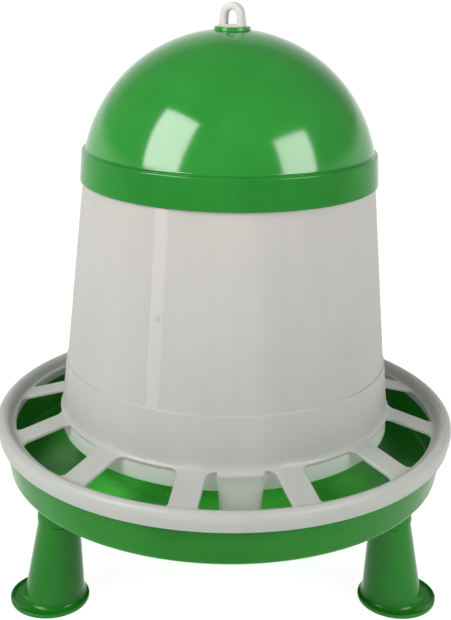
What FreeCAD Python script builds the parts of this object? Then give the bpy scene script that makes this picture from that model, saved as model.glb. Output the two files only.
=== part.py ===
import FreeCAD, Part
import math
import os

# Gravity poultry feeder: domed lid, conical hopper with a spoked grill moulded round its foot,
# a shallow pan, and three push-on legs.  Millimetres, +Z up, origin on the floor on the hopper's axis.

# ---- driving dimensions ---------------------------------------------------------------------------
RING_R = 180.0                # widest radius, at the grill's rolled rim
RING_Z = 123.5                # height of that widest line
RING_LOW_Z = 115.6            # lower edge of the ring
HOPPER_R_MID = 116.75         # hopper outside radius at its middle height
HOPPER_Z_MID = 243.0
HOPPER_TAPER = 0.1056         # radius lost per millimetre of height
LID_SKIRT_Z = 314.4           # lower edge of the lid
LID_LEDGE_Z = 336.9           # ledge where the lid's skirt meets the dome
DOME_R = 109.8                # outside radius of the spherical dome
DOME_CENTRE_Z = 313.7
CROWN_Z = 425.2               # top of the collar round the crown hole
EYE_TOP_Z = 441.8             # top of the hanging eye
FLOOR_Z = 87.2                # inside floor of the pan
PAN_WALL = 2.2
LEG_COUNT = 3

# hopper
HOPPER_WALL = 2.0
NECK_INSET = 0.8              # the neck under the lid stands back from the cone
RIM_Z = 334.5                 # hopper's top rim, which the lid rests on
LEDGE_Z = 174.8               # top of the thicker band round the hopper's foot
BAND_PROUD = 1.0
SKIRT_Z = 119.5               # lower edge of the hopper wall, where the feed runs out
RIB_COUNT = 3
RIB_W = 9.3
RIB_TOP_Z = 314.0

# grill
SPOKE_COUNT = 12
SPOKE_W = 20.6
ROOF_T = 3.0
WINDOW_IN_R = 131.0
WINDOW_OUT_R = 166.3
WINDOW_IN_FILLET = 5.0
WINDOW_OUT_FILLET = 3.0
GRILL_TURN = 3.6              # turn of the grill, window centre and foot, from the legs' plane, degrees
RIB_TURN = -25.9              # turn of the first rib

# feet that carry the hopper on the pan floor
FOOT_COUNT = 3
FOOT_FACE_R = 133.6
FOOT_HALF_TOP = 17.2
FOOT_HALF_LOW = 12.7
FOOT_WALL = 2.0
FOOT_BACK_R = 125.4
SEAT_GAP = 0.05               # gap left at the flat seats between pieces that lift apart

# pan
PAN_RIM_R = 175.9
PAN_RIM_Z = 119.0
PAN_KNEE_R = 171.6
PAN_KNEE_Z = 91.0
PAN_HEEL_R = 165.6
CONE_BASE_R = 92.0
CONE_SLOPE = 33.6             # slope of the feed cone in the middle of the pan, degrees
CONE_CAP_R = 18.0             # radius of the cone's rounded tip
POST_HALF_W = 8.0
POST_H = 22.0

# legs, described on an axis that leans outwards towards the floor
SEAM_R = 145.7                # distance of the leg's axis from the hopper's axis at the seam
SEAM_Z = 65.0                 # height of the seam between pan boss and leg
LEG_LEAN = 5.0                # lean of the leg's axis, degrees
LEG_TOP_R = 15.6
BOSS_R = 16.5                 # boss over the leg, a little wider than the leg's top
LEG_TAPER = 0.1175            # radius gained per millimetre along the leg
LEG_WALL = 2.2
SPIGOT_R = 13.1
SPIGOT_GAP = 0.07
SPIGOT_LEN = 28.0
FLANGE_R = 30.0
FLANGE_OFFSET_R = 155.3       # distance of the foot flange's centre from the hopper's axis

# hanging eye
HOLE_R = 10.0
EYE_GAP = 0.08
EYE_FLANGE_R = 17.0
EYE_DEPTH = 7.0
EYE_TURN = -26.7              # the eye stands swivelled from the front, degrees

Z_AXIS = FreeCAD.Vector(0, 0, 1)
ORIGIN = FreeCAD.Vector(0, 0, 0)
REACH = 400.0                 # longer than anything it has to cut through


def vec(r, z):
    return FreeCAD.Vector(r, 0, z)


def outline(*steps):
    """Closed wire in the XZ plane.  A step is (r, z), or (r, z, mid_r, mid_z) for an arc to it."""
    edges = []
    here = vec(*steps[0][:2])
    first = here
    for step in steps[1:] + ((steps[0][:2]),):
        there = vec(*step[:2])
        if there.distanceToPoint(here) < 1e-6:
            continue
        if len(step) == 4:
            edges.append(Part.Arc(here, vec(*step[2:]), there).toShape())
        else:
            edges.append(Part.LineSegment(here, there).toShape())
        here = there
    assert here.distanceToPoint(first) < 1e-6
    return Part.Wire(edges)


def turned(*steps):
    """Solid of revolution about Z from a closed outline."""
    return Part.Face(outline(*steps)).revolve(ORIGIN, Z_AXIS, 360)


def spin(shape, degrees):
    copy = shape.copy()
    copy.rotate(ORIGIN, Z_AXIS, degrees)
    return copy


def around(shape, count, start=0.0):
    return [spin(shape, start + 360.0 * i / count) for i in range(count)]


def box(x0, x1, y0, y1, z0, z1):
    return Part.makeBox(x1 - x0, y1 - y0, z1 - z0, FreeCAD.Vector(x0, y0, z0))


def tapered_slab(half_top, half_low, y0, y1, z_top, z_low):
    """Slab whose width changes from half_top at z_top to half_low at z_low."""
    corners = [(-half_low, z_low), (half_low, z_low), (half_top, z_top), (-half_top, z_top)]
    points = [FreeCAD.Vector(x, y0, z) for x, z in corners]
    face = Part.Face(Part.makePolygon(points + points[:1]))
    return face.extrude(FreeCAD.Vector(0, y1 - y0, 0))


def one_solid(shape):
    clean = shape.removeSplitter()
    assert len(clean.Solids) == 1, len(clean.Solids)
    return clean.Solids[0]


def hopper_r(z):
    return HOPPER_R_MID - HOPPER_TAPER * (z - HOPPER_Z_MID)


def sphere_z(radius, r):
    return DOME_CENTRE_Z + math.sqrt(radius ** 2 - r ** 2)


# ---- hopper with its grill ------------------------------------------------------------------------
ROOF_IN = (134.0, 134.3)              # where the sloping roof of the grill leaves the hopper's fillet
ROOF_OUT = (WINDOW_OUT_R, 124.3)
ROOF_SLOPE = (ROOF_IN[1] - ROOF_OUT[1]) / (ROOF_OUT[0] - ROOF_IN[0])
BAND_LOW_Z = 138.8
SKIRT_OUT_R = 129.4
LIP_IN_R = WINDOW_OUT_R + 0.5


def roof_z(r):
    return ROOF_IN[1] - ROOF_SLOPE * (r - ROOF_IN[0])


def hopper_shell():
    band_r = hopper_r(LEDGE_Z) + BAND_PROUD
    fillet_top_r = hopper_r(BAND_LOW_Z) + BAND_PROUD
    under = ROOF_T * math.sqrt(1 + ROOF_SLOPE ** 2)
    neck_z = LID_SKIRT_Z + 0.4
    rim_r = hopper_r(RIM_Z) - NECK_INSET
    return turned(
        (178.7, RING_LOW_Z),
        (RING_R - 0.1, RING_Z - 0.5),
        (176.6, 130.0, 179.3, 128.0),
        (172.2, 126.3, 173.9, 128.8),
        (170.2, 123.6),
        ROOF_OUT,
        ROOF_IN,
        (fillet_top_r, BAND_LOW_Z, 130.3, 136.1),
        (band_r, LEDGE_Z),
        (hopper_r(LEDGE_Z), LEDGE_Z),
        (hopper_r(neck_z), neck_z),
        (hopper_r(neck_z) - NECK_INSET, neck_z + 0.8),
        (rim_r, RIM_Z),
        (rim_r - HOPPER_WALL, RIM_Z),
        (hopper_r(LEDGE_Z) - HOPPER_WALL, LEDGE_Z),
        (SKIRT_OUT_R - HOPPER_WALL, SKIRT_Z),
        (SKIRT_OUT_R, SKIRT_Z),
        (127.9, 132.6),
        (131.0, roof_z(131.0) - under),
        (LIP_IN_R, roof_z(LIP_IN_R) - under),
        (LIP_IN_R, 116.4),
        (LIP_IN_R + 1.8, 116.4),
        (LIP_IN_R + 1.8, 120.6),
        (171.8, 120.6),
        (174.3, 125.4),
        (177.8, 123.2, 176.8, 126.0),
        (176.9, RING_LOW_Z),
    )


def window_cutter():
    """One window between two spokes, as a vertical prism with rounded corners."""
    low, high = 113.0, 143.0
    disc = Part.makeCylinder(WINDOW_OUT_R, high - low, FreeCAD.Vector(0, 0, low))
    disc = disc.cut(Part.makeCylinder(WINDOW_IN_R, high - low, FreeCAD.Vector(0, 0, low)))
    half_pitch = 180.0 / SPOKE_COUNT
    side = SPOKE_W / 2.0
    left = spin(box(-REACH, side, -REACH, 0, low, high), -half_pitch)
    right = spin(box(-side, REACH, -REACH, 0, low, high), half_pitch)
    back = box(-REACH, REACH, 0, REACH, low, high)
    sector = disc.cut(left).cut(right).cut(back)
    sector = max(sector.Solids, key=lambda s: s.Volume)
    upright = [e for e in sector.Edges if e.BoundBox.ZLength > 0.9 * (high - low)]
    inner = [e for e in upright if math.hypot(e.CenterOfMass.x, e.CenterOfMass.y) < 0.5 * (
        WINDOW_IN_R + WINDOW_OUT_R)]
    outer = [e for e in upright if math.hypot(e.CenterOfMass.x, e.CenterOfMass.y) > 0.5 * (
        WINDOW_IN_R + WINDOW_OUT_R)]
    sector = sector.makeFillet(WINDOW_IN_FILLET, inner)
    upright = [e for e in sector.Edges if e.BoundBox.ZLength > 0.9 * (high - low)]
    outer = [e for e in upright if math.hypot(e.CenterOfMass.x, e.CenterOfMass.y) > WINDOW_OUT_R - 2.0]
    return sector.makeFillet(WINDOW_OUT_FILLET, outer)


def foot_blank():
    """Foot that folds down from the roof to the pan floor, solid."""
    low = FLOOR_Z + SEAT_GAP
    high = 137.2
    blank = tapered_slab(FOOT_HALF_TOP, FOOT_HALF_LOW, -FOOT_FACE_R, -FOOT_BACK_R, high, low)
    above_roof = turned(
        (100.0, 200.0),
        (100.0, 141.2),
        (hopper_r(BAND_LOW_Z) + BAND_PROUD - 0.6, BAND_LOW_Z),
        (ROOF_IN[0] - 0.2, ROOF_IN[1] - 0.1, 130.0, 135.9),
        (150.0, roof_z(150.0) - 0.1),
        (150.0, 200.0),
    )
    return blank.cut(above_roof)


def foot_hollow():
    """Space inside the foot, open towards the hopper's axis."""
    inner_top = FOOT_HALF_TOP - FOOT_WALL
    inner_low = FOOT_HALF_LOW - FOOT_WALL
    face = FOOT_FACE_R - FOOT_WALL
    return tapered_slab(inner_top, inner_low, -face, -100.0, 131.6, FLOOR_Z - 2.0)


def hopper():
    body = hopper_shell()
    window = window_cutter()
    for cutter in around(window, SPOKE_COUNT, GRILL_TURN):
        body = body.cut(cutter)
    feet = around(foot_blank(), FOOT_COUNT, GRILL_TURN)
    body = body.fuse(feet)
    for hollow in around(foot_hollow(), FOOT_COUNT, GRILL_TURN):
        body = body.cut(hollow)
    rib_shell = turned(
        (hopper_r(LEDGE_Z - 6.0) + BAND_PROUD, LEDGE_Z - 6.0),
        (hopper_r(RIB_TOP_Z) + BAND_PROUD, RIB_TOP_Z),
        (hopper_r(RIB_TOP_Z) - 1.0, RIB_TOP_Z),
        (hopper_r(LEDGE_Z - 6.0) - 1.0, LEDGE_Z - 6.0),
    )
    rib = rib_shell.common(box(-RIB_W / 2, RIB_W / 2, -REACH, 0, LEDGE_Z - 6.0, RIB_TOP_Z))
    body = body.fuse(around(rib, RIB_COUNT, RIB_TURN))
    return one_solid(body)


# ---- pan ------------------------------------------------------------------------------------------
def leg_frame(shape):
    """Place a shape built round +Z at the seam, so that +Z runs up the leaning leg axis."""
    placed = shape.copy()
    placed.rotate(ORIGIN, FreeCAD.Vector(1, 0, 0), -LEG_LEAN)
    placed.translate(FreeCAD.Vector(0, -SEAM_R, SEAM_Z))
    return placed


def pan_bowl():
    w = PAN_WALL
    under_z = FLOOR_Z - w
    slope = math.radians(CONE_SLOPE)
    cap_z = FLOOR_Z + CONE_BASE_R * math.tan(slope) - CONE_CAP_R / math.cos(slope)

    def cap(radius, angle):
        return (radius * math.sin(angle), cap_z + radius * math.cos(angle))

    under_r = CONE_CAP_R - w
    under_base_r = (cap_z + under_r / math.cos(slope) - under_z) / math.tan(slope)
    return turned(
        (PAN_RIM_R - w, PAN_RIM_Z),
        (PAN_RIM_R, PAN_RIM_Z, PAN_RIM_R - w / 2, PAN_RIM_Z + w / 2),
        (PAN_KNEE_R, PAN_KNEE_Z),
        (PAN_HEEL_R, under_z, 169.84, 86.76),
        (under_base_r, under_z),
        cap(under_r, slope),
        cap(under_r, 0.0) + cap(under_r, slope / 2),
        cap(CONE_CAP_R, 0.0),
        cap(CONE_CAP_R, slope) + cap(CONE_CAP_R, slope / 2),
        (CONE_BASE_R, FLOOR_Z),
        (PAN_HEEL_R, FLOOR_Z),
        (PAN_KNEE_R - w, PAN_KNEE_Z, 168.28, 88.32),
    )


def pan_boss():
    """Boss and spigot under the pan that one leg pushes on to, with its hollow."""
    rise = 40.0
    boss = Part.makeCone(BOSS_R, BOSS_R + 0.7, rise)
    boss = boss.fuse(Part.makeCylinder(SPIGOT_R, SPIGOT_LEN - 1.5, FreeCAD.Vector(0, 0, 1.5 - SPIGOT_LEN)))
    lead_in = Part.makeCone(SPIGOT_R - 1.2, SPIGOT_R, 1.5, FreeCAD.Vector(0, 0, -SPIGOT_LEN))
    return leg_frame(boss.fuse(lead_in))


def pan_boss_hollow():
    depth = SPIGOT_LEN + 2.0
    return leg_frame(Part.makeCylinder(SPIGOT_R - LEG_WALL, depth + 17.0, FreeCAD.Vector(0, 0, -depth)))


def post():
    """Upright that stands inside one hopper foot and keeps it in place."""
    face = FOOT_FACE_R - FOOT_WALL - 0.5
    top = FLOOR_Z + POST_H
    body = box(-POST_HALF_W, POST_HALF_W, -face, -face + 6.0, FLOOR_Z - 1.0, top)
    crest = [e for e in body.Edges if e.BoundBox.ZLength < 1e-6 and abs(e.CenterOfMass.z - top) < 1e-6]
    return body.makeChamfer(1.5, crest)


def pan():
    body = pan_bowl()
    clip = box(-REACH, REACH, -REACH, REACH, FLOOR_Z - PAN_WALL / 2, REACH)
    bosses = [spin(pan_boss().cut(clip), 60.0 + 360.0 * i / LEG_COUNT) for i in range(LEG_COUNT)]
    hollows = [spin(pan_boss_hollow(), 60.0 + 360.0 * i / LEG_COUNT) for i in range(LEG_COUNT)]
    body = body.fuse(bosses)
    for hollow in hollows:
        body = body.cut(hollow)
    body = body.fuse(around(post(), FOOT_COUNT, GRILL_TURN))
    return one_solid(body)


# ---- legs -----------------------------------------------------------------------------------------
def leg():
    """Hollow leaning cone with a round flange on the floor, built under the front of the pan."""
    drop = 72.0
    seat = -SEAT_GAP
    flare_s = 60.0
    flare_r = LEG_TOP_R + LEG_TAPER * flare_s
    low_r = LEG_TOP_R + LEG_TAPER * drop
    cone = turned(
        (0.0, seat),
        (LEG_TOP_R - 0.5, seat),
        (LEG_TOP_R, seat - 0.5),
        (flare_r, -flare_s),
        (low_r + 3.4, -drop, flare_r + 1.35, -flare_s - 5.0),
        (0.0, -drop),
    )
    bore_r = SPIGOT_R + SPIGOT_GAP
    bore_s = SPIGOT_LEN + 2.0
    hollow = turned(
        (0.0, 1.0),
        (bore_r, 1.0),
        (bore_r, -bore_s),
        (low_r - LEG_WALL, -drop),
        (low_r - LEG_WALL, -drop - 10.0),
        (0.0, -drop - 10.0),
    )
    flange = turned(
        (0.0, 0.0),
        (FLANGE_R - 0.8, 0.0),
        (FLANGE_R, 0.8),
        (FLANGE_R, 3.4),
        (FLANGE_R - 1.6, 4.2, FLANGE_R - 0.5, 4.1),
        (FLANGE_R - 4.4, 2.4, FLANGE_R - 2.8, 2.9),
        (0.0, 2.4),
    )
    flange.translate(FreeCAD.Vector(0, -FLANGE_OFFSET_R, 0))
    body = leg_frame(cone).fuse(flange).cut(leg_frame(hollow))
    body = body.cut(box(-REACH, REACH, -REACH, REACH, -REACH, 0.0))
    return one_solid(body)


# ---- lid ------------------------------------------------------------------------------------------
def lid():
    inner_r = DOME_R - 1.8
    seat_z = RIM_Z + SEAT_GAP
    dome_low_r = 107.3
    boss_z = CROWN_Z - 7.0
    dome_mid = 75.0
    inner_low_r = 104.0
    collar_r = 13.1
    return one_solid(turned(
        (110.2, LID_SKIRT_Z),
        (111.0, LID_SKIRT_Z),
        (111.5, LID_SKIRT_Z + 0.8, 111.4, LID_SKIRT_Z + 0.3),
        (109.8, LID_LEDGE_Z - 1.0),
        (108.8, LID_LEDGE_Z, 109.5, LID_LEDGE_Z - 0.3),
        (dome_low_r, LID_LEDGE_Z),
        (dome_low_r, sphere_z(DOME_R, dome_low_r)),
        (collar_r + 2.2, sphere_z(DOME_R, collar_r + 2.2), dome_mid, sphere_z(DOME_R, dome_mid)),
        (collar_r, CROWN_Z - 1.2, collar_r + 0.5, CROWN_Z - 2.3),
        (collar_r, CROWN_Z - 0.5),
        (collar_r - 0.5, CROWN_Z, collar_r - 0.15, CROWN_Z - 0.15),
        (HOLE_R, CROWN_Z),
        (HOLE_R, boss_z),
        (collar_r + 1.2, boss_z),
        (collar_r + 1.2, sphere_z(inner_r, collar_r + 1.2)),
        (inner_low_r, sphere_z(inner_r, inner_low_r), dome_mid, sphere_z(inner_r, dome_mid)),
        (102.6, seat_z + 2.4),
        (102.6, seat_z),
        (106.8, seat_z),
    ))


# ---- hanging eye ----------------------------------------------------------------------------------
def hanging_eye():
    """Loop on a short stem, with a flange under the dome and shoulders over the crown hole."""
    shoulder_z = CROWN_Z + 0.2
    base_half = 10.1
    arch_r = 8.85
    arch_z = EYE_TOP_Z - arch_r
    hole_r = 4.2
    hole_low_half = 4.5
    hole_z = EYE_TOP_Z - 5.0 - hole_r
    loop = Part.Face(outline(
        (-base_half, shoulder_z),
        (base_half, shoulder_z),
        (arch_r, arch_z),
        (-arch_r, arch_z, 0.0, EYE_TOP_Z),
    ))
    eye = Part.Face(outline(
        (-hole_low_half, shoulder_z + 1.2),
        (hole_low_half, shoulder_z + 1.2),
        (hole_r, hole_z),
        (-hole_r, hole_z, 0.0, hole_z + hole_r),
    ))
    bow = loop.cut(eye).extrude(FreeCAD.Vector(0, EYE_DEPTH, 0))
    bow.translate(FreeCAD.Vector(0, -EYE_DEPTH / 2, 0))
    faces_y = EYE_DEPTH / 2
    rims = [e for e in bow.Edges
            if e.BoundBox.YLength < 1e-6 and abs(abs(e.CenterOfMass.y) - faces_y) < 1e-6
            and e.BoundBox.ZMax > shoulder_z + 0.1]
    bow = bow.makeFillet(1.1, rims)
    stem = turned(
        (0.0, CROWN_Z - 10.2),
        (EYE_FLANGE_R, CROWN_Z - 10.2),
        (EYE_FLANGE_R, CROWN_Z - 7.2),
        (HOLE_R - EYE_GAP, CROWN_Z - 7.2),
        (HOLE_R - EYE_GAP, shoulder_z),
        (0.0, shoulder_z),
    )
    return spin(one_solid(bow.fuse(stem)), EYE_TURN)


def main():
    os.makedirs("parts", exist_ok=True)
    front_leg = leg()
    nodes = {
        "hopper": hopper(),
        "pan": pan(),
        "lid": lid(),
        "hanging_eye": hanging_eye(),
        "leg_front_right": spin(front_leg, 60.0),
        "leg_front_left": spin(front_leg, -60.0),
        "leg_rear": spin(front_leg, 180.0),
    }
    for name, shape in nodes.items():
        assert shape.isValid(), name
        shape.exportStep("parts/" + name + ".step")
        bounds = shape.BoundBox
        print(name, round(shape.Volume / 1000.0, 1), "cm3", [round(v, 1) for v in (
            bounds.XMin, bounds.XMax, bounds.YMin, bounds.YMax, bounds.ZMin, bounds.ZMax)])


main()
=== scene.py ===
import math

import bmesh
import bpy
from mathutils import Matrix, Vector


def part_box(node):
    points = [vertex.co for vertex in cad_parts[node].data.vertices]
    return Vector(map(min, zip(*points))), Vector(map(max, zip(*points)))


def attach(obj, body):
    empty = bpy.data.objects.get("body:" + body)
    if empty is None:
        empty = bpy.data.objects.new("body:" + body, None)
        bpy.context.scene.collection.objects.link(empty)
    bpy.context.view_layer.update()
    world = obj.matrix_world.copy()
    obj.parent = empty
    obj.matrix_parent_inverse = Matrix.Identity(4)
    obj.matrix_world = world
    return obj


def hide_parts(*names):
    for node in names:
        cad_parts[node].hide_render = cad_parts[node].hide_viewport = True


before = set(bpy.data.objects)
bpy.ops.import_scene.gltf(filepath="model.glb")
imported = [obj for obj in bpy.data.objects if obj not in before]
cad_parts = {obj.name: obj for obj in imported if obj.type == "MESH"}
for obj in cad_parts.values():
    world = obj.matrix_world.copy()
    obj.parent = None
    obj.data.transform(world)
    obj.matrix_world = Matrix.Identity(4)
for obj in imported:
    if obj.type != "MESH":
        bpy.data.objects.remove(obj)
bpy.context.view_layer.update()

# A poultry feeder: a milky hopper with a spoked grill stands on feet in a green pan on three leaning
# legs, under a green domed lid with a hanging eye.

# ---- sizes, in millimetres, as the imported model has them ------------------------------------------
MM = 0.001
SEGMENTS = 288                       # around every turned piece; a multiple of the window count
AXIS_R = 0.02                        # a solid turned profile stops here, just short of the axis

hopper_lo, hopper_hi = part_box("hopper")
lid_lo, lid_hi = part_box("lid")

RING_R = hopper_hi.x / MM            # widest radius, at the grill's rolled ring
RIM_Z = hopper_hi.z / MM             # top of the hopper
FOOT_Z = hopper_lo.z / MM            # underside of the hopper's feet
CROWN_Z = lid_hi.z / MM              # top of the lid's collar
LID_LOW_Z = lid_lo.z / MM            # lower edge of the lid
EYE_TOP_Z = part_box("hanging_eye")[1].z / MM

# the hopper's wall narrows upwards, and stands proud as a band below the ledge
HOPPER_R_MID, HOPPER_Z_MID, HOPPER_TAPER = 116.75, 243.0, 0.1056
HOPPER_WALL = 2.0
LEDGE_Z, BAND_PROUD, BAND_LOW_Z = 174.8, 1.0, 138.8
SKIRT_LOW_Z = 119.5                  # where the wall goes on below the grill's roof, and ends
RIB_W, RIB_TOP_Z, GATE_Z = 9.3, 314.0, 238.3

# the grill: a sloping roof with twelve windows, from the band to the rolled ring
SPOKES, SPOKE_W, ROOF_T = 12, 20.6, 3.0
WINDOW_IN_R, WINDOW_OUT_R = 131.0, 166.3
RING_LOW_Z, RING_LIP_Z = 115.6, 116.4
TUBE_R, TUBE_CENTRE = 4.6, (175.0, 125.6)
FOOT_FACE_R, FOOT_BACK_R, FOOT_HALF_TOP, FOOT_HALF_LOW = 133.6, 125.4, 17.2, 12.7
FOOT_TOP_Z, FOOT_FACE_TOP_Z, FOOT_WALL = 137.0, 128.0, 2.0

# how far each part had been turned about the upright axis, in degrees
GRILL_TURN, RIB_TURN, EYE_TURN = 3.6, -25.9, -26.7
LEG_TURNS = {"leg_front_right": 60.0, "leg_front_left": -60.0, "leg_rear": 180.0}

# the lid: part of a sphere above a narrow ledge and a short skirt
DOME_R, DOME_Z, DOME_WALL = 109.8, 313.7, 1.8
DOME_LOW_R, LEDGE_LID_Z = 107.3, 336.9
COLLAR_R, COLLAR_HOLE_R = 13.1, 10.0

PAN_FLOOR_Z, PAN_WALL = 87.2, 2.2
PAN_RIM_R, PAN_RIM_Z = 175.9, 119.0

# each leg leans out from the point where it meets the pan's boss
SEAM_R, SEAM_Z, LEG_LEAN = 145.7, 65.0, math.radians(5.0)
LEG_TOP_R, LEG_TAPER, LEG_WALL = 15.6, 0.1175, 2.2
BOSS_R, SPIGOT_R = 16.5, 13.1
FLANGE_R, FLANGE_OFFSET_R = 29.97, 155.3


def hopper_r(z):
    """Outside radius of the hopper's plain wall at a height."""
    return HOPPER_R_MID - HOPPER_TAPER * (z - HOPPER_Z_MID)


# ---- mesh helpers ---------------------------------------------------------------------------------
def arc(centre, radius, start, end, steps):
    """Points on an arc in the (r, z) plane, angles in degrees from +r towards +z."""
    angles = [math.radians(start + (end - start) * i / steps) for i in range(steps + 1)]
    return [(centre[0] + radius * math.cos(a), centre[1] + radius * math.sin(a)) for a in angles]


def softened(points, closed=True, steps=4):
    """A polyline whose corners (r, z, radius) are replaced by small arcs."""
    out = []
    count = len(points)
    for i, point in enumerate(points):
        here = Vector(point[:2])
        radius = point[2] if len(point) > 2 else 0.0
        at_end = not closed and i in (0, count - 1)
        if radius == 0.0 or at_end:
            out.append(tuple(here))
            continue
        a = (Vector(points[i - 1][:2]) - here).normalized()
        b = (Vector(points[(i + 1) % count][:2]) - here).normalized()
        half = a.angle(b) / 2
        reach = radius / math.tan(half)
        middle = here + (a + b).normalized() * (radius / math.sin(half))
        start = here + a * reach - middle
        end = here + b * reach - middle
        turn = start.angle_signed(end)
        for k in range(steps + 1):
            s = math.sin(-turn * k / steps)
            c = math.cos(turn * k / steps)
            out.append(tuple(middle + Vector((start.x * c - start.y * s, start.x * s + start.y * c))))
    return braced(out)


def braced(points, near=0.6):
    """Adds a point close to each end of every long straight run, so that shading stays flat along it."""
    out = [points[0]]
    for a, b in zip(points, points[1:]):
        run = math.dist(a, b)
        if run > 5 * near:
            for t in (near / run, 1 - near / run):
                out.append((a[0] + (b[0] - a[0]) * t, a[1] + (b[1] - a[1]) * t))
        out.append(b)
    return out


def mesh_piece(name, verts, faces, material, body):
    """Smooth piece from points in millimetres, that moves with its body."""
    mesh = bpy.data.meshes.new(name)
    mesh.from_pydata([tuple(c * MM for c in v) for v in verts], [], faces)
    mesh.validate()
    mesh.update()
    mesh.polygons.foreach_set("use_smooth", [True] * len(mesh.polygons))
    mesh.materials.append(material)
    piece = bpy.data.objects.new(name, mesh)
    bpy.context.collection.objects.link(piece)
    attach(piece, body)
    return piece


def ring_grid(rows, closed_rows):
    """Faces joining equal rows of points that each run right round; rows also join up if closed_rows."""
    n = len(rows[0])
    verts = [v for row in rows for v in row]
    faces = []
    last = len(rows) if closed_rows else len(rows) - 1
    for i in range(last):
        j = (i + 1) % len(rows)
        for k in range(n):
            m = (k + 1) % n
            faces.append((i * n + k, i * n + m, j * n + m, j * n + k))
    return verts, faces


def turned_rows(profile, turn=0.0):
    """One circle of points for each (r, z) of the profile, starting turn degrees round from the front."""
    angles = [math.radians(turn) + 2 * math.pi * k / SEGMENTS for k in range(SEGMENTS)]
    return [[(r * math.sin(a), -r * math.cos(a), z) for a in angles] for r, z in profile]


def turned_piece(name, profile, material, body):
    """Ring of revolution whose profile closes on itself."""
    verts, faces = ring_grid(turned_rows(profile), True)
    return mesh_piece(name, verts, faces, material, body)


def about_z(degrees):
    return Matrix.Rotation(math.radians(degrees), 4, "Z")


def moved_by(place, rows):
    return [[tuple(place @ Vector(v)) for v in row] for row in rows]


# ---- materials ------------------------------------------------------------------------------------
WHITE = (1.0, 1.0, 1.0, 1.0)
PLASTIC_IOR = 1.49


def opaque(colour):
    return tuple(colour) + (1.0,)


class Nodes:
    """Small wrapper that makes node graphs short to write."""

    def __init__(self, tree):
        self.tree = tree

    def put(self, socket, value):
        if isinstance(value, bpy.types.NodeSocket):
            self.tree.links.new(value, socket)
        else:
            socket.default_value = value

    def axes(self, vector):
        """The vector's parts, as outputs named X, Y and Z."""
        node = self.tree.nodes.new("ShaderNodeSeparateXYZ")
        self.put(node.inputs[0], vector)
        return node.outputs

    def remap(self, value, low, high, to_low=0.0, to_high=1.0):
        node = self.tree.nodes.new("ShaderNodeMapRange")
        self.put(node.inputs["Value"], value)
        for key, number in zip(("From Min", "From Max", "To Min", "To Max"), (low, high, to_low, to_high)):
            node.inputs[key].default_value = number
        return node.outputs["Result"]

    def math(self, kind, a, b=0.0):
        node = self.tree.nodes.new("ShaderNodeMath")
        node.operation = kind
        self.put(node.inputs[0], a)
        self.put(node.inputs[1], b)
        return node.outputs[0]

    def mix(self, amount, a, b, blend="MIX"):
        node = self.tree.nodes.new("ShaderNodeMix")
        node.data_type = "RGBA"
        node.blend_type = blend
        self.put(node.inputs["Factor"], amount)
        self.put(node.inputs["A"], a)
        self.put(node.inputs["B"], b)
        return node.outputs["Result"]

    def product(self, a, b):
        return self.mix(1.0, a, b, "MULTIPLY")


class Surface(Nodes):
    """The node graph of a new material; at holds the shaded point's X, Y and Z in metres."""

    def __init__(self, name):
        self.material = bpy.data.materials.new(name)
        self.material.use_nodes = True
        super().__init__(self.material.node_tree)
        self.bsdf = self.tree.nodes["Principled BSDF"]
        self.out = self.tree.nodes["Material Output"]
        self.where = self.tree.nodes.new("ShaderNodeTexCoord").outputs["Object"]
        self.at = self.axes(self.where)

    def shader(self, **inputs):
        """Sets inputs of the main shader: Base_Color=... is its Base Color."""
        for key, value in inputs.items():
            self.put(self.bsdf.inputs[key.replace("_", " ")], value)

    def stretched(self, scale):
        node = self.tree.nodes.new("ShaderNodeMapping")
        self.put(node.inputs["Vector"], self.where)
        node.inputs["Scale"].default_value = scale
        return node.outputs["Vector"]

    def noise(self, scale, detail=3.0, rough=0.5, where=None):
        node = self.tree.nodes.new("ShaderNodeTexNoise")
        self.put(node.inputs["Vector"], where or self.where)
        node.inputs["Scale"].default_value = scale
        node.inputs["Detail"].default_value = detail
        node.inputs["Roughness"].default_value = rough
        return node.outputs["Fac"]

    def bump(self, height, distance, strength, normal=None):
        node = self.tree.nodes.new("ShaderNodeBump")
        self.put(node.inputs["Height"], height)
        node.inputs["Distance"].default_value = distance
        node.inputs["Strength"].default_value = strength
        if normal:
            self.put(node.inputs["Normal"], normal)
        return node.outputs["Normal"]

    def pan_inside(self):
        """1 on the pan's upper side, 0 on its outside and underside: where the pan's painted light goes.
        """
        x, y, z = self.at
        r = self.math("SQRT", self.math("ADD", self.math("MULTIPLY", x, x), self.math("MULTIPLY", y, y)))
        wall_r = self.remap(z, 0.091, 0.119, 0.1703, 0.1747)
        within_wall = self.remap(self.math("SUBTRACT", wall_r, r), 0.0, 0.0003)
        above_floor = self.remap(z, 0.0858, 0.0864)
        return self.math("MULTIPLY", within_wall, above_floor)


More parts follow.
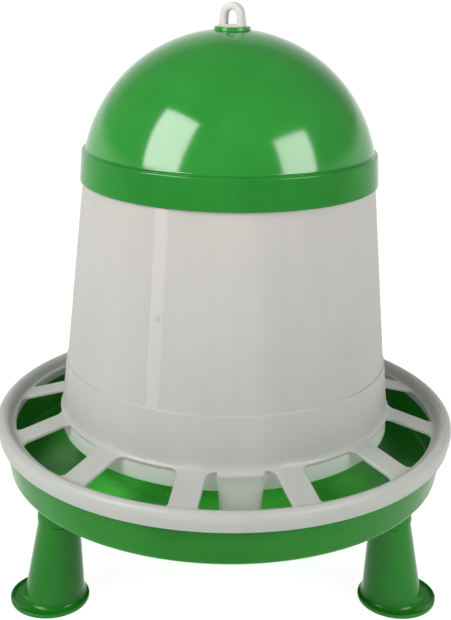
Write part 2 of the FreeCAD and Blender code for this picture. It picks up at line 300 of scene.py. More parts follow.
def green_plastic(name, colour, roughness, shine, inside=None, painted_shade_and_dull_below=None):
    """Glossy self-coloured polypropylene: faint cloudy colour, fine sink marks, rubbed patches.

    With inside, the pan's upper side is painted brighter by those two tints, at the front and farther
    back: painted light, standing in for the light that comes through the milky grill.  Given a
    height, as for the lid, the skirt below it is painted darker, painted shade, and shines less
    than its dome."""
    n = Surface(name)
    deep = opaque(c * 0.86 for c in colour)
    pale = opaque(min(1.0, c * 1.10 + 0.004) for c in colour)
    clouds = n.noise(9.0, 4.0, 0.55)
    rubbed = n.remap(n.noise(34.0, 6.0, 0.7), 0.60, 0.78)
    specks = n.remap(n.noise(420.0, 2.0), 0.70, 0.78)
    base = n.mix(n.remap(clouds, 0.35, 0.65), deep, pale)
    base = n.mix(n.math("MULTIPLY", specks, 0.15), base, (0.30, 0.36, 0.27, 1.0))
    # painted light: the pan's upper side is painted brighter by these tints, more at the front than
    # farther back, standing in for light that comes through the milky grill
    if inside:
        front, back = map(opaque, inside)
        tint = n.mix(n.remap(n.at["Y"], -0.07, -0.01), front, back)
        base = n.mix(n.pan_inside(), base, n.product(base, tint))
    # painted shade: below the given height the lid's skirt is painted darker, and its shine is turned down
    if painted_shade_and_dull_below:
        step = (painted_shade_and_dull_below - 0.001, painted_shade_and_dull_below)
        base = n.product(base, n.remap(n.at["Z"], *step, 0.86, 1.0))
        shine = n.remap(n.at["Z"], *step, 0.15, shine)
    worn = n.remap(rubbed, 0.0, 1.0, roughness, roughness + 0.14)
    ripple = n.bump(n.noise(26.0, 2.0), 0.0006, 0.22)
    grain = n.bump(n.noise(900.0, 2.0), 0.00004, 0.35, ripple)
    n.shader(Base_Color=base, Roughness=n.math("ADD", worn, n.remap(clouds, 0.3, 0.7, -0.02, 0.03)),
             Normal=grain, IOR=PLASTIC_IOR, Specular_IOR_Level=shine,
             Subsurface_Weight=0.06, Subsurface_Radius=(0.001, 0.003, 0.001))
    return n.material


def milky_plastic(name, colour, roughness, glow, lift, shows=None, lift_top=None):
    """Natural polypropylene: light passes through the thin wall, with long vertical flow streaks.

    Shows is a tint and two heights in metres: down to the lower height the colour is painted
    towards the tint, painted green light from the pan and painted shade low down.  Lift is painted
    light: an emission that stands in for the light the plastic carries along inside itself into
    shaded places; it falls to lift_top at the grill's roof.  Faces that look down glow too."""
    n = Surface(name)
    height = n.at["Z"]
    dull = opaque(c * 0.955 for c in colour)
    clear = opaque(min(1.0, c * 1.02) for c in colour)
    streaks = n.noise(30.0, 5.0, 0.6, n.stretched((1.0, 1.0, 0.035)))
    clouds = n.noise(14.0, 4.0, 0.5)
    blend = n.math("ADD", n.math("MULTIPLY", streaks, 0.65), n.math("MULTIPLY", clouds, 0.35))
    base = n.mix(n.remap(blend, 0.38, 0.62), dull, clear)
    # painted shade: the milky wall is painted darker and cooler lower down, fully so below 0.18 m
    painted_low_shade = n.mix(n.remap(height, 0.18, 0.30), (0.93, 0.955, 0.965, 1.0), WHITE)
    base = n.product(base, painted_low_shade)
    # painted green light and painted shade: low down the colour is painted towards the given green tint
    if shows:
        tint, low_z, high_z = shows
        base = n.mix(n.remap(height, low_z, high_z), opaque(tint), base)
    specks = n.remap(n.noise(300.0, 2.0), 0.71, 0.79)
    base = n.mix(n.math("MULTIPLY", specks, 0.22), base, (0.42, 0.38, 0.30, 1.0))
    facing_up = n.axes(n.tree.nodes.new("ShaderNodeNewGeometry").outputs["Normal"])["Z"]
    # painted glow: faces that look down get an emission, standing in for light from below
    underside = n.remap(facing_up, -0.25, -0.85, 0.0, 0.30)
    # painted glow: the lift emission paints light into the plastic's shaded places; on the foot it falls
    # at the grill's roof
    if lift_top is not None:
        lift = n.remap(height, 0.123, 0.130, lift, lift_top)
    waves = n.bump(n.noise(18.0, 3.0, 0.5, n.stretched((1.0, 1.0, 0.15))), 0.0008, 0.25)
    grain = n.bump(n.noise(700.0, 2.0), 0.00005, 0.4, waves)
    n.shader(Base_Color=base, Roughness=n.remap(clouds, 0.3, 0.7, roughness - 0.03, roughness + 0.07),
             Normal=grain, IOR=PLASTIC_IOR, Emission_Color=base,
             Emission_Strength=n.math("ADD", underside, lift),
             Subsurface_Weight=0.35, Subsurface_Radius=(0.004, 0.004, 0.0035))
    through = n.tree.nodes.new("ShaderNodeBsdfTranslucent")
    n.put(through.inputs["Color"], base)
    n.put(through.inputs["Normal"], grain)
    both = n.tree.nodes.new("ShaderNodeMixShader")
    both.inputs["Fac"].default_value = glow
    n.put(both.inputs[1], n.bsdf.outputs[0])
    n.put(both.inputs[2], through.outputs[0])
    n.put(n.out.inputs["Surface"], both.outputs[0])
    return n.material


MILK = (0.565, 0.553, 0.525)
RIB_MILK = tuple(c * 1.05 for c in MILK)
lid_green = green_plastic("lid_green", (0.010, 0.178, 0.016), 0.11, 0.60,
                          # painted shade: the lid's skirt below the ledge is painted darker and shines
                          # less
                          painted_shade_and_dull_below=LEDGE_LID_Z * MM - 0.0001)
# painted shade: the pan is the lid's same green plastic, painted darker
pan_green = green_plastic("pan_green", (0.009, 0.145, 0.010), 0.20, 0.14,
                          # painted light: tints that paint the pan's upper side brighter, at the front and
                          # farther back
                          inside=((7.0, 4.2, 5.6), (2.2, 1.7, 1.9)))
# painted shade: the legs are the lid's same green plastic, painted darker
leg_green = green_plastic("leg_green", (0.007, 0.140, 0.008), 0.16, 0.22)
# painted light: every milky material glows by an emission, its lift value; the skirt's strong glow lights
# it in the roof's shade
hopper_milk = milky_plastic("hopper_milk", MILK, 0.32, 0.42, 0.09, ((0.50, 0.55, 0.51), 0.085, 0.140))
rib_milk = milky_plastic("rib_milk", RIB_MILK, 0.32, 0.38, 0.07)
# painted green light and painted shade: hopper, skirt and foot are painted greener and darker low down, by
# their tints
skirt_milk = milky_plastic("skirt_milk", MILK, 0.32, 0.50, 0.58, ((0.34, 0.51, 0.34), 0.113, 0.130))
foot_milk = milky_plastic("foot_milk", MILK, 0.32, 0.42, 0.34, ((0.50, 0.53, 0.49), 0.085, 0.140), 0.09)
eye_white = milky_plastic("eye_white", (0.54, 0.527, 0.49), 0.42, 0.12, 0.0)


# ---- lid ------------------------------------------------------------------------------------------
def sphere_z(radius, r):
    """Height, at distance r from the axis, of a sphere about the dome's centre."""
    return DOME_Z + math.sqrt(radius ** 2 - r ** 2)


def dome_arc(radius, r_start, r_end, steps):
    start = math.degrees(math.acos(r_start / radius))
    end = math.degrees(math.acos(r_end / radius))
    return arc((0.0, DOME_Z), radius, start, end, steps)


def make_lid():
    """Dome, ledge and skirt outside; inside, a seat that rests on the hopper's rim."""
    inner_r = DOME_R - DOME_WALL
    boss_r, boss_z = COLLAR_R + 1.2, CROWN_Z - 7.0
    collar_low_r = COLLAR_R + 3.0
    seat_r, seat_in_r, seat_top_r = 106.8, 102.6, 104.0
    seat_z = RIM_Z + 0.05
    skirt = softened([
        (seat_r, seat_z), (110.2, LID_LOW_Z, 0.3), (111.5, LID_LOW_Z, 0.7), (109.75, LEDGE_LID_Z, 1.1),
        (DOME_LOW_R, LEDGE_LID_Z, 0.2), (DOME_LOW_R, sphere_z(DOME_R, DOME_LOW_R))], closed=False)
    collar = softened([
        (collar_low_r, sphere_z(DOME_R, collar_low_r)), (COLLAR_R, sphere_z(DOME_R, COLLAR_R) - 0.3, 1.3),
        (COLLAR_R + 0.1, CROWN_Z, 0.9), (COLLAR_HOLE_R, CROWN_Z, 0.5), (COLLAR_HOLE_R, boss_z, 0.3),
        (boss_r, boss_z, 0.4), (boss_r, sphere_z(inner_r, boss_r))], closed=False)
    seat = softened([
        (seat_top_r, sphere_z(inner_r, seat_top_r)), (seat_in_r, seat_z + 2.4, 0.4),
        (seat_in_r, seat_z, 0.3), (seat_r, seat_z)], closed=False)
    profile = skirt[:-1] + dome_arc(DOME_R, DOME_LOW_R, collar_low_r, 64)[:-1] + collar[:-1]
    profile += dome_arc(inner_r, boss_r, seat_top_r, 40)[:-1] + seat[:-1]
    lid = turned_piece("lid_shell", profile, lid_green, "lid")
    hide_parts("lid")


# ---- hanging eye ----------------------------------------------------------------------------------
def loop_outline(half_low, low, r, centre_z):
    """Outline in (x, z): up the right side, over the arch, down the left side, along the foot."""
    side_steps, foot_steps = 10, 12
    side = [(half_low + (r - half_low) * i / side_steps, low + (centre_z - low) * i / side_steps)
            for i in range(side_steps)]
    arch = arc((0.0, centre_z), r, 0.0, 180.0, 40)
    foot = [(-half_low + 2 * half_low * i / foot_steps, low) for i in range(1, foot_steps)]
    return side + arch + [(-x, z) for x, z in reversed(side)] + foot


def round_corners(per_corner):
    """Corners of a rounded section in turn, as (corner x, corner y, arc x, arc y)."""
    corners = []
    for corner_x, corner_y, first in ((1, -1, -90), (1, 1, 0), (-1, 1, 90), (-1, -1, 180)):
        for i in range(per_corner + 1):
            angle = math.radians(first + 90 * i / per_corner)
            corners.append((corner_x, corner_y, math.cos(angle), math.sin(angle)))
    return corners


def make_eye():
    """Loop with a rounded section, standing on a short stem that has a flange under the dome."""
    depth, arch_r, hole_r, edge_soft = 7.0, 8.85, 4.2, 1.4
    stem_r, flange_r = 9.92, 17.0
    flange_low_z, flange_z = CROWN_Z - 10.2, CROWN_Z - 7.2
    low_z = CROWN_Z + 0.2
    outer = loop_outline(10.1, low_z, arch_r, EYE_TOP_Z - arch_r)
    inner = loop_outline(4.5, low_z + 1.2, hole_r, EYE_TOP_Z - 5.0 - hole_r)
    rows = []
    for (ox, oz), (ix, iz) in zip(outer, inner):
        wide = math.hypot(ox - ix, oz - iz)
        soft = min(edge_soft, 0.45 * wide)
        row = []
        for cx, cy, dx, dy in round_corners(5):
            along = 0.5 + 0.5 * (cx * (wide - 2 * soft) + 2 * soft * dx) / wide
            y = cy * (depth / 2 - soft) + soft * dy
            row.append((ix + (ox - ix) * along, y, iz + (oz - iz) * along))
        rows.append(row)
    verts, faces = ring_grid(moved_by(about_z(EYE_TURN), rows), True)
    eye = mesh_piece("eye_loop", verts, faces, eye_white, "eye")
    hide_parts("hanging_eye")
    stem_top_z = low_z + 0.3
    stem = softened([
        (AXIS_R, flange_low_z), (flange_r, flange_low_z, 0.8), (flange_r, flange_z, 0.6),
        (stem_r, flange_z, 0.4), (stem_r, stem_top_z, 0.5), (AXIS_R, stem_top_z)], closed=False)
    turned_piece("eye_stem", stem, eye_white, "eye")


# ---- hopper and grill -----------------------------------------------------------------------------
def grill_line():
    """Outer surface from the band, round the fillet, down the spokes and up to the ring's crest."""
    band_r = hopper_r(BAND_LOW_Z) + BAND_PROUD
    above = 3.4
    top = (band_r - HOPPER_TAPER * above, BAND_LOW_Z + above)
    corner = (band_r + 0.5, 135.6, 4.6)
    groove = (170.6, 122.9, 0.9)
    tube = arc(TUBE_CENTRE, TUBE_R, 160.0, 88.0, 8)
    return softened([top, corner, groove, tube[0]], closed=False, steps=8)[:-1] + tube


class Sheet:
    """A line turned about the axis: angle, distance s along the line and depth below it give a point."""

    def __init__(self, line):
        self.line = [Vector(p) for p in line]
        self.at = [0.0]
        for a, b in zip(self.line, self.line[1:]):
            self.at.append(self.at[-1] + (b - a).length)
        self.length = self.at[-1]
        self.normals = []
        for i in range(len(line)):
            step = self.line[min(i + 1, len(line) - 1)] - self.line[max(i - 1, 0)]
            self.normals.append(Vector((-step.y, step.x)).normalized())

    def spot(self, s):
        """Point and outward normal, both in (r, z), at distance s."""
        s = min(max(s, 0.0), self.length)
        i = max(k for k in range(len(self.at) - 1) if self.at[k] <= s + 1e-9)
        t = (s - self.at[i]) / (self.at[i + 1] - self.at[i])
        point = self.line[i].lerp(self.line[i + 1], t)
        normal = self.normals[i].lerp(self.normals[i + 1], t).normalized()
        return point, normal

    def where_r(self, r):
        """Distance along the line at which it reaches radius r."""
        for i in range(len(self.line) - 1):
            a, b = self.line[i], self.line[i + 1]
            if a.x <= r <= b.x:
                return self.at[i] + (self.at[i + 1] - self.at[i]) * (r - a.x) / (b.x - a.x)
        raise ValueError(r)

    def place(self, angle, s, depth=0.0):
        point, normal = self.spot(s)
        r = point.x - normal.x * depth
        z = point.y - normal.y * depth
        return (r * math.sin(angle), -r * math.cos(angle), z)


def window_outline(sheet, per_side):
    """Rounded window between two spokes, as (x, s) points: inner edge, right, outer edge, left."""
    half_pitch = math.pi / SPOKES
    s_in, s_out = sheet.where_r(WINDOW_IN_R), sheet.where_r(WINDOW_OUT_R)
    soft_in, soft_out = 7.0, 4.2
    side_steps, corner_steps = 8, 6
    edge_steps = per_side // 2 - corner_steps // 2

    def edge_x(s):
        """Half the window's width, measured round the hopper."""
        r = sheet.spot(s)[0].x
        return r * (half_pitch - math.asin(SPOKE_W / 2 / r))

    def corner(s_edge, soft, inward):
        """Quarter turn from the arc edge to the side edge."""
        s_mid = s_edge + inward * soft
        x_mid = edge_x(s_mid) - soft
        return [(x_mid + soft * math.sin(a), s_mid - inward * soft * math.cos(a))
                for a in [math.pi / 2 * i / corner_steps for i in range(corner_steps + 1)]]

    low = corner(s_in, soft_in, 1)
    high = corner(s_out, soft_out, -1)
    first, last = low[-1][1], high[-1][1]
    heights = [first + (last - first) * i / side_steps for i in range(1, side_steps)]
    side = [(edge_x(s), s) for s in heights]
    inner_half = [(low[0][0] * i / edge_steps, s_in) for i in range(edge_steps)]
    outer_half = [(high[0][0] * i / edge_steps, s_out) for i in range(edge_steps)]
    right = inner_half + low + side + list(reversed(high)) + list(reversed(outer_half))
    left = [(-x, s) for x, s in reversed(right[1:-1])]
    return right + left


def sector_edge(outline_count, per_side, s_low, s_high):
    """As many (angle, s) points on the sector's own border, from the middle of its inner edge."""
    half_pitch = math.pi / SPOKES
    half = per_side // 2
    side_count = outline_count // 2 - per_side
    inner = [(half_pitch * i / half, s_low) for i in range(half + 1)]
    side = [(half_pitch, s_low + (s_high - s_low) * i / side_count) for i in range(1, side_count)]
    outer = [(half_pitch * i / half, s_high) for i in range(half, -1, -1)]
    right = inner + side + outer
    left = [(-a, s) for a, s in reversed(right[1:-1])]
    return right + left


def grill_sector(sheet, turn, per_side):
    """Quads of one window's sector: top surface, rounded window edge, window wall and underside."""
    outline = window_outline(sheet, per_side)
    count = len(outline)
    border = sector_edge(count, per_side, 0.0, sheet.length)
    edge_soft, round_steps = 1.15, 4
    normals = []
    for i in range(count):
        ahead, behind = outline[(i + 1) % count], outline[i - 1]
        step = Vector((ahead[0] - behind[0], ahead[1] - behind[1])).normalized()
        normals.append(Vector((step.y, -step.x)))

    def moved(distance):
        """The outline grown by a distance, as (angle, s) points."""
        out = []
        for (x, s), normal in zip(outline, normals):
            s_new = s + normal.y * distance
            out.append(((x + normal.x * distance) / sheet.spot(s_new)[0].x, s_new))
        return out

    def blended(a, b, t):
        return [(p[0] + (q[0] - p[0]) * t, p[1] + (q[1] - p[1]) * t) for p, q in zip(a, b)]

    rows = []
    under = moved(0.3)
    for t in (1.0, 0.5, 0.0):
        rows.append((blended(under, border, t), ROOF_T))
    rows.append((moved(0.0), ROOF_T - 0.4))
    rows.append((moved(0.0), edge_soft))
    for i in range(1, round_steps + 1):
        a = math.pi / 2 * i / round_steps
        rows.append((moved(edge_soft * (1 - math.cos(a))), edge_soft * (1 - math.sin(a))))
    top = moved(edge_soft + 0.25)
    rows.append((top, 0.0))
    for t in (0.15, 0.4, 0.7, 1.0):
        rows.append((blended(top, border, t), 0.0))
    return [[sheet.place(a + turn, s, depth) for a, s in row] for row, depth in rows]


def make_hopper():
    """The one milky moulding: wall, band, spoked roof and rolled ring, joined into a single skin."""
    sheet = Sheet(grill_line())
    verts, faces = [], []

    def add(rows):
        new_verts, new_faces = ring_grid(rows, False)
        offset = len(verts)
        verts.extend(new_verts)
        faces.extend(tuple(i + offset for i in face) for face in new_faces)

    def ends(s):
        """The top and underside of the roof's sheet at distance s along it."""
        point, normal = sheet.spot(s)
        return (point.x, point.y), (point.x - normal.x * ROOF_T, point.y - normal.y * ROOF_T)

    for k in range(SPOKES):
        add(grill_sector(sheet, math.radians(GRILL_TURN + 360.0 * k / SPOKES), SEGMENTS // SPOKES))
    wall_out, wall_in = ends(0.0)
    ring_top, ring_under = ends(sheet.length)
    neck_z, neck_in = LID_LOW_Z + 0.4, 0.8
    rim_r = hopper_r(RIM_Z) - neck_in
    wall = softened([
        wall_out, (hopper_r(LEDGE_Z) + BAND_PROUD, LEDGE_Z, 0.7), (hopper_r(LEDGE_Z), LEDGE_Z, 0.2),
        (hopper_r(neck_z), neck_z, 0.3), (hopper_r(neck_z) - neck_in, neck_z + neck_in, 0.3),
        (rim_r, RIM_Z, 0.6), (rim_r - HOPPER_WALL, RIM_Z, 0.6),
        (hopper_r(LEDGE_Z) - HOPPER_WALL, LEDGE_Z, 3.0), wall_in], closed=False)
    add(turned_rows(wall, GRILL_TURN))
    lip_out_r, lip_in_r, channel_top_z = 168.6, 166.8, 120.6
    ring = softened([
        ring_top, (RING_R - 0.6, 130.3, 4.3), (RING_R + 0.02, 123.8, 3.0),
        (178.75, RING_LOW_Z, 0.7), (176.9, RING_LOW_Z, 0.5), (177.4, 123.4, 1.5),
        (TUBE_CENTRE[0] - 0.4, TUBE_CENTRE[1], 1.5), (171.6, channel_top_z, 1.0),
        (lip_out_r, channel_top_z, 0.6), (lip_out_r, RING_LIP_Z, 0.6), (lip_in_r, RING_LIP_Z, 0.6),
        (lip_in_r, 120.4, 0.8), ring_under], closed=False)
    add(turned_rows(ring, GRILL_TURN))
    hopper = mesh_piece("hopper_moulding", verts, faces, hopper_milk, "hopper")
    weld(hopper)
    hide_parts("hopper")
    skirt = softened([
        (125.6, 141.2), (127.4, SKIRT_LOW_Z, 0.7), (129.4, SKIRT_LOW_Z, 0.9), (127.9, 132.2, 4.0),
        (128.2, 137.2)], closed=False)
    turned_piece("hopper_skirt", skirt, skirt_milk, "hopper")
    for k in range(3):
        make_foot(k)
        make_rib(k)
        make_gate_mark(k)


def weld(piece):
    """Join coincident points and point every face outwards."""
    mesh = bmesh.new()
    mesh.from_mesh(piece.data)
    bmesh.ops.remove_doubles(mesh, verts=mesh.verts, dist=2e-6)
    bmesh.ops.recalc_face_normals(mesh, faces=mesh.faces)
    mesh.to_mesh(piece.data)
    mesh.free()


def foot_profile():
    """The foot's face from the pan floor up, then over the shoulder to the band, as (r, z) points."""
    proud, sunk, round_r, straight = 0.03, 0.15, 2.4, 12
    shoulder = [(r, z + proud) for r, z in grill_line() if 129.1 < r < 131.5]
    shoulder[0] = (shoulder[0][0], shoulder[0][1] - sunk)
    last_r, last_z = shoulder[-1]
    corner = (FOOT_FACE_R, last_z - 0.35 * (FOOT_FACE_R - last_r), round_r)
    top = softened([shoulder[-1], corner, (FOOT_FACE_R, FOOT_FACE_TOP_Z)], closed=False, steps=8)[:-1]
    face = [(FOOT_FACE_R, FOOT_Z + (FOOT_FACE_TOP_Z - FOOT_Z) * i / straight) for i in range(straight + 1)]
    return face + list(reversed(top)) + list(reversed(shoulder[:-1]))


def foot_row(face_r, z):
    """One level of the foot, as (x, r, z): round from its right side over the face to its left side."""
    corner_steps, face_steps, soft = 6, 6, 2.4
    half = FOOT_HALF_LOW + (FOOT_HALF_TOP - FOOT_HALF_LOW) * (z - FOOT_Z) / (FOOT_TOP_Z - FOOT_Z)
    soft = min(soft, 0.45 * (face_r - FOOT_BACK_R))
    angles = [math.pi / 2 * i / corner_steps for i in range(corner_steps + 1)]
    right = [(half, FOOT_BACK_R)]
    right += [(half - soft + soft * math.cos(a), face_r - soft + soft * math.sin(a)) for a in angles]
    right += [((half - soft) * (1 - i / face_steps), face_r) for i in range(1, face_steps)]
    left = [(-x, r) for x, r in reversed(right)]
    return [(x, r, z) for x, r in right + [(0.0, face_r)] + left]


def make_foot(k):
    """Hollow foot that folds down from the grill's roof to the pan floor."""
    outer = [foot_row(face_r, z) for face_r, z in foot_profile()]
    width = len(outer[0])
    inner = []
    for row in outer[:12]:
        narrower = 1 - FOOT_WALL / row[0][0]
        inner.append([(x * narrower, r - FOOT_WALL if r > FOOT_BACK_R + 0.1 else r, z) for x, r, z in row])
    faces = []
    for i in range(len(outer) - 1):
        for j in range(width - 1):
            faces.append((i * width + j, i * width + j + 1, (i + 1) * width + j + 1, (i + 1) * width + j))
    base = len(outer) * width
    for i in range(len(inner) - 1):
        for j in range(width - 1):
            a = base + i * width + j
            faces.append((a + 1, a, a + width, a + width + 1))
        for j in (0, width - 1):
            a, b = i * width + j, base + i * width + j
            faces.append((a, a + width, b + width, b))
    for j in range(width - 1):
        faces.append((j, base + j, base + j + 1, j + 1))
    turn = about_z(GRILL_TURN + 120.0 * k)
    verts = [tuple(turn @ Vector((x, -math.sqrt(r * r - x * x), z)))
             for row in outer + inner for x, r, z in row]
    mesh_piece("hopper_foot_%d" % (k + 1), verts, faces, foot_milk, "hopper")


def make_rib(k):
    """Low flow rib up the hopper, from the ledge to just below the lid."""
    half = RIB_W / 2
    edge = [(-half - 0.9, -0.1), (-half - 0.3, 0.06), (-half + 0.3, 0.34), (-half + 0.9, 0.52),
            (-half + 1.6, 0.6)]
    section = edge + [(0.0, 0.62)] + [(-x, height) for x, height in reversed(edge)]
    levels = [LEDGE_Z - 2.0, LEDGE_Z, LEDGE_Z + 1.0] + [LEDGE_Z + 2.0 + 3.0 * i for i in range(45)]
    levels += [RIB_TOP_Z - 0.6, RIB_TOP_Z - 0.1, RIB_TOP_Z]
    rows = []
    for z in levels:
        sunk = 0.7 if z >= RIB_TOP_Z else 0.0
        radii = [hopper_r(z) + height - sunk for x, height in section]
        rows.append([(x, -math.sqrt(r * r - x * x), z) for (x, height), r in zip(section, radii)])
    width = len(section)
    faces = [(i * width + j, i * width + j + 1, (i + 1) * width + j + 1, (i + 1) * width + j)
             for i in range(len(rows) - 1) for j in range(width - 1)]
    verts = [v for row in moved_by(about_z(RIB_TURN + 120.0 * k), rows) for v in row]
    mesh_piece("hopper_rib_%d" % (k + 1), verts, faces, rib_milk, "hopper")


def make_gate_mark(k):
    """Small round mark of the mould's gate, part way up a rib and square to the leaning wall."""
    mark = softened([
        (AXIS_R, 0.55), (1.5, 0.55, 0.2), (1.8, 0.25, 0.1), (2.25, 0.25, 0.1), (2.5, -0.4),
        (AXIS_R, -0.4)], closed=False)
    lean = Matrix.Rotation(math.atan(HOPPER_TAPER) + math.pi / 2, 4, "X")
    at_rib = Matrix.Translation((0.0, -hopper_r(GATE_Z) - 1.0, GATE_Z))
    angles = [2 * math.pi * i / 32 for i in range(32)]
    rows = [[(r * math.cos(a), r * math.sin(a), z * 0.6) for a in angles] for r, z in mark]
    rows = moved_by(about_z(RIB_TURN + 120.0 * k) @ at_rib @ lean, rows)
    verts, faces = ring_grid(rows, True)
    mesh_piece("gate_mark_%d" % (k + 1), verts, faces, rib_milk, "hopper")


# ---- pan ------------------------------------------------------------------------------------------
def leg_place(degrees):
    """Places a shape built round +Z at the seam on to one leaning leg axis."""
    lean = Matrix.Rotation(-LEG_LEAN, 4, "X")
    return about_z(degrees) @ Matrix.Translation((0.0, -SEAM_R, SEAM_Z)) @ lean


def make_pan():
    """Shallow bowl with a rounded cone in its middle, three bosses under it and three uprights in it."""
    w, under_z = PAN_WALL, PAN_FLOOR_Z - PAN_WALL
    slope = math.radians(33.6)
    cap_r, base_r = 18.0, 92.0
    cap_z = PAN_FLOOR_Z + base_r * math.tan(slope) - cap_r / math.cos(slope)
    crown, shoulder = 89.9, 90 - math.degrees(slope)
    tip_out = arc((0.0, cap_z), cap_r, crown, shoulder, 8)
    tip_in = arc((0.0, cap_z), cap_r - w, shoulder, crown, 8)
    outside = softened([
        (PAN_RIM_R - w, PAN_RIM_Z, 1.0), (PAN_RIM_R, PAN_RIM_Z + w / 2, 1.0), (171.6, 91.5, 20.0),
        (171.1, under_z, 5.6), (base_r + 1.2, under_z, 8.0), tip_in[0]], closed=False)
    inside = softened([
        tip_out[-1], (base_r, PAN_FLOOR_Z, 10.0), (168.9, PAN_FLOOR_Z, 4.4), (169.5, 92.0, 20.0),
        (PAN_RIM_R - w, PAN_RIM_Z)], closed=False)
    profile = outside[:-1] + tip_in + tip_out + inside[1:-1]
    pan = turned_piece("pan_bowl", profile, pan_green, "pan")
    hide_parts("pan")
    for name, turn in LEG_TURNS.items():
        make_boss(name.replace("leg", "pan_boss"), turn)
    for k in range(3):
        make_post(k)


def make_boss(name, turn):
    """Round boss under the pan, with the spigot that a leg pushes on to; its top ends in the floor."""
    bore_r, top, spigot_low = 10.9, 24.0, -28.0
    boss = softened([
        (bore_r, top), (BOSS_R + 0.4, top), (BOSS_R, 0.0, 0.7), (SPIGOT_R, 0.0, 0.2),
        (SPIGOT_R, spigot_low, 1.2), (bore_r, spigot_low, 0.5)], closed=False)
    floor_z = PAN_FLOOR_Z - 0.6 * PAN_WALL
    rows = moved_by(leg_place(turn), turned_rows(boss))
    rows = [[(x, y, min(z, floor_z)) for x, y, z in row] for row in rows]
    verts, faces = ring_grid(rows, True)
    mesh_piece(name, verts, faces, pan_green, "pan")


def make_post(k):
    """Upright inside one hopper foot, with softened corners."""
    half, face_r, thick, soft = 8.0, FOOT_FACE_R - 2.5, 6.0, 1.2
    top_z = PAN_FLOOR_Z + 22.0
    levels = ((PAN_FLOOR_Z - 1.0, 0.0), (top_z - 1.5, 0.0), (top_z - 0.5, 0.4), (top_z, 1.4), (top_z, 3.0))
    rows = []
    for z, pull in levels:
        row = []
        for sx, sy, first in ((1, 1, 0), (-1, 1, 90), (-1, -1, 180), (1, -1, 270)):
            for i in range(4):
                a = math.radians(first + 30.0 * i)
                x = sx * (half - pull - soft) + soft * math.cos(a)
                y = sy * max(thick / 2 - pull - soft, 0.0) + soft * math.sin(a)
                row.append((x, -face_r + thick / 2 - y, z))
        rows.append(row)
    verts, faces = ring_grid(moved_by(about_z(GRILL_TURN + 120.0 * k), rows), False)
    count = len(rows[0])
    faces.append(tuple(range((len(rows) - 1) * count, len(rows) * count)))
    mesh_piece("pan_post_%d" % (k + 1), verts, faces, pan_green, "pan")


# ---- legs -----------------------------------------------------------------------------------------
def flange_rows(base, centre, rim):
    """Circles from the cone's foot, the base, out to the rim: a fillet, a flat plate and a raised lip."""
    circles = 24
    plate_z, lip_z, fillet_z = 2.3, 4.2, 7.0
    fillet_run, lip_run, edge_run = 4.2, 4.6, 1.1
    rows = []
    for i in range(1, circles + 1):
        t = i / circles
        t = t * t * (3 - 2 * t) * 0.35 + t * 0.65
        row = []
        for b, c in zip(base, rim):
            b = Vector((b[0], b[1], 0.0))
            gap = (c - b).length
            point = b.lerp(c, t)
            run = gap * t
            left = gap - run
            fillet = (fillet_z - plate_z) * max(0.0, 1 - run / fillet_run) ** 2.4
            lip = (lip_z - plate_z) * max(0.0, 1 - left / lip_run) ** 2 * min(1.0, gap / 5.0)
            edge = max(0.0, 1 - left / edge_run) ** 2
            row.append((point.x, point.y, plate_z + fillet + lip - edge))
        rows.append(row)
    for inset, z in ((0.0, 2.0), (0.0, 0.9), (0.3, 0.25), (1.0, 0.0)):
        share = (FLANGE_R - inset) / FLANGE_R
        rows.append([tuple(centre + (c - centre) * share)[:2] + (z,) for c in rim])
    return rows


def make_leg(node, turn):
    """Leaning hollow cone whose foot opens into a round flange with a raised lip."""
    place = leg_place(0.0)
    count = 144
    angles = [2 * math.pi * i / count for i in range(count)]
    long_way = 80.0                  # down the axis, past the floor

    def on_cone(angle, down, radius):
        return place @ Vector((radius * math.sin(angle), -radius * math.cos(angle), -down))

    def cone_row(down, inset=0.0):
        return [tuple(on_cone(a, down, LEG_TOP_R + LEG_TAPER * down - inset)) for a in angles]

    def level_row(z, inset=0.0):
        """Where the cone meets a level plane."""
        row = []
        for a in angles:
            top = on_cone(a, 0.0, LEG_TOP_R - inset)
            low = on_cone(a, long_way, LEG_TOP_R - inset + LEG_TAPER * long_way)
            row.append(tuple(top.lerp(low, (top.z - z) / (top.z - low.z))))
        return row

    centre = Vector((0.0, -FLANGE_OFFSET_R, 0.0))
    rim = [centre + Vector((FLANGE_R * math.sin(a), -FLANGE_R * math.cos(a), 0.0)) for a in angles]
    rows = [cone_row(0.05, 2.15), cone_row(0.05, 0.55), cone_row(0.2, 0.2), cone_row(0.6)]
    rows += [cone_row(2.0 + 4.0 * i) for i in range(13)]
    rows.append(level_row(7.4))
    rows += flange_rows(level_row(7.0), centre, rim)
    rows += [level_row(0.0, LEG_WALL), level_row(12.0, LEG_WALL)]
    rows += [[tuple(on_cone(a, down, SPIGOT_R + 0.07)) for a in angles] for down in (30.0, 15.0, 0.4)]
    verts, faces = ring_grid(moved_by(about_z(turn), rows), True)
    leg = mesh_piece(node + "_sleeve", verts, faces, leg_green, node)
    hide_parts(node)


make_lid()
make_eye()
make_hopper()
make_pan()
for leg_node, leg_turn in LEG_TURNS.items():
    make_leg(leg_node, leg_turn)


# ---- floor, light and camera ----------------------------------------------------------------------
STUDIO_TURN = about_z(-1.9)          # the object stood turned by this in front of the camera


def make_floor():
    """Wide level floor, pale enough to run into the white background."""
    n = Surface("floor_white")
    haze = n.mix(n.noise(1.3, 3.0), (0.17, 0.17, 0.168, 1.0), (0.20, 0.20, 0.198, 1.0))
    n.shader(Base_Color=haze, Roughness=0.9, Specular_IOR_Level=0.1,
             Emission_Color=(1.0, 1.0, 0.995, 1.0), Emission_Strength=0.93)
    half = 30.0
    corners = [(-half, -half, 0.0), (half, -half, 0.0), (half, half, 0.0), (-half, half, 0.0)]
    mesh = bpy.data.meshes.new("floor")
    mesh.from_pydata(corners, [], [(0, 1, 2, 3)])
    mesh.materials.append(n.material)
    floor = bpy.data.objects.new("floor", mesh)
    bpy.context.collection.objects.link(floor)


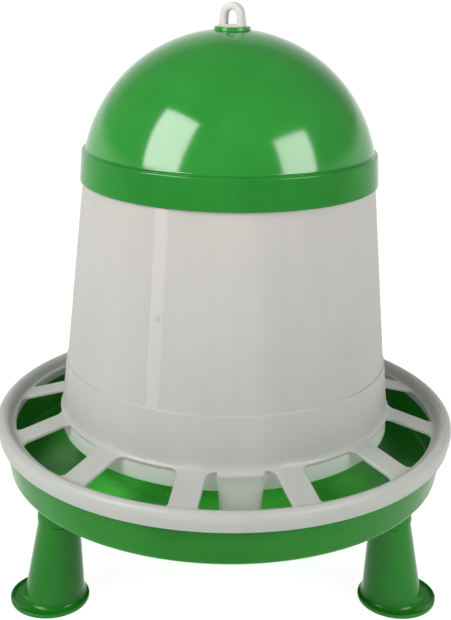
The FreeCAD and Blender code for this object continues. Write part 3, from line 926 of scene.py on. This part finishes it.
def softbox(name, place, size, radiance):
    """Rectangular light facing the dome.  Place in metres, in the studio's axes."""
    data = bpy.data.lights.new(name, "AREA")
    data.shape = "RECTANGLE"
    data.size, data.size_y = size
    data.energy = radiance * math.pi * size[0] * size[1]
    data.color = (1.0, 0.99, 0.97)
    light = bpy.data.objects.new(name, data)
    light.location = STUDIO_TURN @ Vector(place)
    target = Vector((0.0, 0.0, DOME_Z * MM))
    light.rotation_mode = "QUATERNION"
    light.rotation_quaternion = (target - light.location).to_track_quat("-Z", "Y")
    bpy.context.collection.objects.link(light)


def make_lights():
    """Two softboxes in a dim white room that is bright behind the object and low round the horizon."""
    dim, bright = 0.28, 1.0
    world = bpy.data.worlds.new("studio")
    bpy.context.scene.world = world
    world.use_nodes = True
    n = Nodes(world.node_tree)
    towards = n.axes(n.tree.nodes.new("ShaderNodeTexCoord").outputs["Generated"])
    behind = n.remap(towards["Y"], 0.65, 0.98, dim, bright)
    horizon = n.remap(towards["Z"], 0.10, 0.22, bright, dim)
    background = n.tree.nodes["Background"]
    background.inputs["Color"].default_value = WHITE
    n.put(background.inputs["Strength"], n.math("MAXIMUM", behind, horizon))
    softbox("key_left", (-0.94, -0.705, 1.016), (0.73, 0.95), 10.5)
    softbox("key_right", (1.056, -0.758, 0.878), (0.70, 0.68), 9.0)


def make_camera():
    """Camera in the studio's axes, in units of the ring's radius: it looks down at a point on the axis."""
    unit = RING_R * MM
    pitch, distance, roll = 0.3291, 4.6774, 0.0207
    side, height = -0.0045, 1.1609
    place = Vector((side, -distance * math.cos(pitch), height + distance * math.sin(pitch))) * unit
    ahead = Vector((0.0, math.cos(pitch), -math.sin(pitch)))
    right = Vector((1.0, 0.0, 0.0))
    up = right.cross(ahead)
    tilted_right = right * math.cos(roll) + up * math.sin(roll)
    tilted_up = up * math.cos(roll) - right * math.sin(roll)
    axes = Matrix((tilted_right, tilted_up, -ahead)).transposed().to_4x4()
    data = bpy.data.cameras.new("camera")
    data.sensor_width = 36.0
    data.lens = 62.404
    camera = bpy.data.objects.new("camera", data)
    camera.matrix_world = STUDIO_TURN @ Matrix.Translation(place) @ axes
    bpy.context.collection.objects.link(camera)
    bpy.context.scene.camera = camera


make_floor()
make_lights()
make_camera()
bpy.context.scene.view_settings.view_transform = "Standard"
